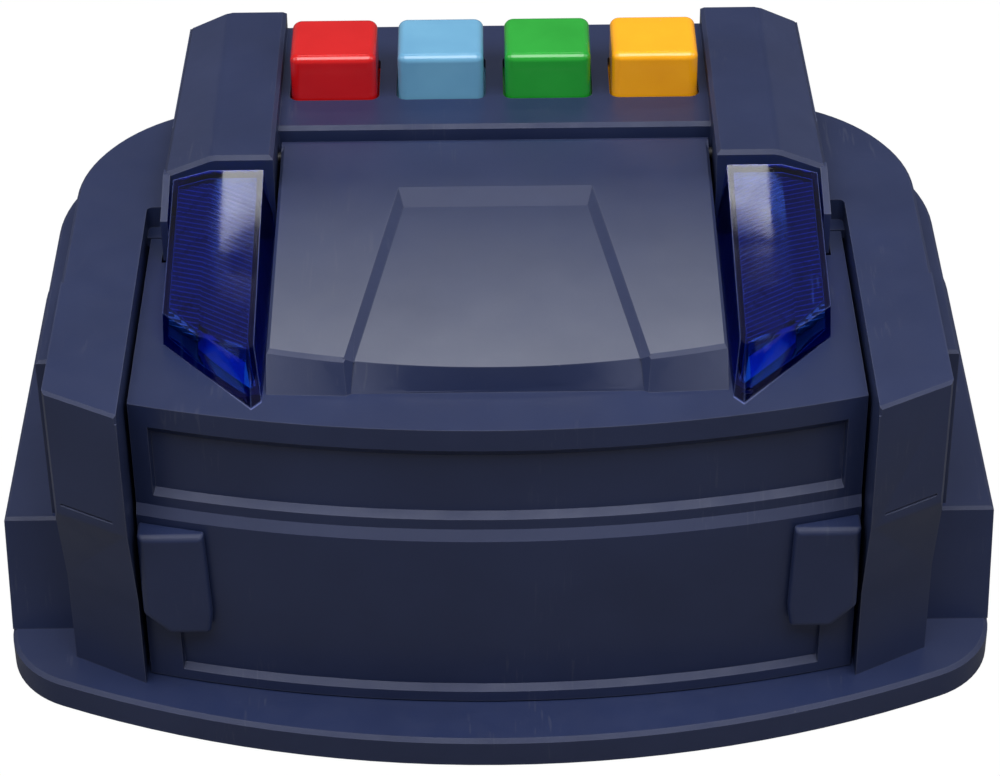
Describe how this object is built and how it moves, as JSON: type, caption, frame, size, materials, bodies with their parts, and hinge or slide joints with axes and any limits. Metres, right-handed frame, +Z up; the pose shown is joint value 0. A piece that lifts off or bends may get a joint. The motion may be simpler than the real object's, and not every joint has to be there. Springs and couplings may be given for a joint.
{
  "type": "fleet guessing game case",
  "caption": "Stepped navy plastic tabletop game case with a hinged hood lid, lamp windows, a row of coloured keys and peg grids inside.",
  "frame": {"origin": "on the table under the middle of the case's overall width and depth", "axes": "+X to the player's right along the case's width, +Y to the back, +Z up"},
  "size_m": [0.25, 0.19, 0.121],
  "materials": {
    "navy_case": "satin moulded plastic",
    "navy_lid": "satin moulded plastic",
    "grid_plastic": "satin moulded plastic",
    "blue_lens": "clear tinted, ribbed inside",
    "red_key": "glossy",
    "blue_key": "glossy",
    "green_key": "glossy",
    "yellow_key": "glossy",
    "foot_rubber": "matt",
    "dome_rubber": "matt",
    "screw_steel": "plain zinc",
    "contact_metal": "nickel plated",
    "cell_jacket": "printed sleeve, left plain",
    "board_laminate": "green solder mask",
    "speaker_frame": "black",
    "black_plastic": "satin"
  },
  "bodies": {
    "case": {"base_tray": "navy_case", "feet": "foot_rubber", "base_screws": "screw_steel", "battery_door": "navy_case", "door_screw": "screw_steel", "battery_cells": "cell_jacket", "battery_contacts": "contact_metal", "main_housing": "navy_case", "rear_console": "navy_case", "hinge_pin_right": "screw_steel", "hinge_pin_left": "screw_steel", "circuit_board": "board_laminate", "speaker": "speaker_frame", "switch_body": "black_plastic", "fleet_tray": "grid_plastic", "contact_dome_red": "dome_rubber", "contact_dome_blue": "dome_rubber", "contact_dome_green": "dome_rubber", "contact_dome_yellow": "dome_rubber"},
    "lid": {"lid_shell": "navy_lid", "lift_tab_right": "navy_lid", "lift_tab_left": "navy_lid", "lamp_lens_right": "blue_lens", "lamp_lens_left": "blue_lens", "lamp_board_right": "board_laminate", "lamp_board_left": "board_laminate", "target_grid": "grid_plastic"},
    "key_red": {"key_red": "red_key"},
    "key_blue": {"key_blue": "blue_key"},
    "key_green": {"key_green": "green_key"},
    "key_yellow": {"key_yellow": "yellow_key"},
    "power_switch": {"power_switch": "black_plastic"}
  },
  "joints": [
    {"name": "lid_hinge", "type": "hinge", "parent": "case", "child": "lid", "pos_m": [0, 0.026, 0.1025], "axis": [-1, 0, 0], "range_deg": [0, 90]},
    {"name": "key_red_press", "type": "slide", "parent": "case", "child": "key_red", "axis": [0, 0, -1], "range_m": [0, 0.0025], "stiffness_N_per_m": 300, "springref_m": -0.001, "deforming": ["contact_dome_red"]},
    {"name": "key_blue_press", "type": "slide", "parent": "case", "child": "key_blue", "axis": [0, 0, -1], "range_m": [0, 0.0025], "stiffness_N_per_m": 300, "springref_m": -0.001, "deforming": ["contact_dome_blue"]},
    {"name": "key_green_press", "type": "slide", "parent": "case", "child": "key_green", "axis": [0, 0, -1], "range_m": [0, 0.0025], "stiffness_N_per_m": 300, "springref_m": -0.001, "deforming": ["contact_dome_green"]},
    {"name": "key_yellow_press", "type": "slide", "parent": "case", "child": "key_yellow", "axis": [0, 0, -1], "range_m": [0, 0.0025], "stiffness_N_per_m": 300, "springref_m": -0.001, "deforming": ["contact_dome_yellow"]},
    {"name": "power_switch_slide", "type": "slide", "parent": "case", "child": "power_switch", "axis": [1, 0, 0], "range_m": [0, 0.004]}
  ]
}
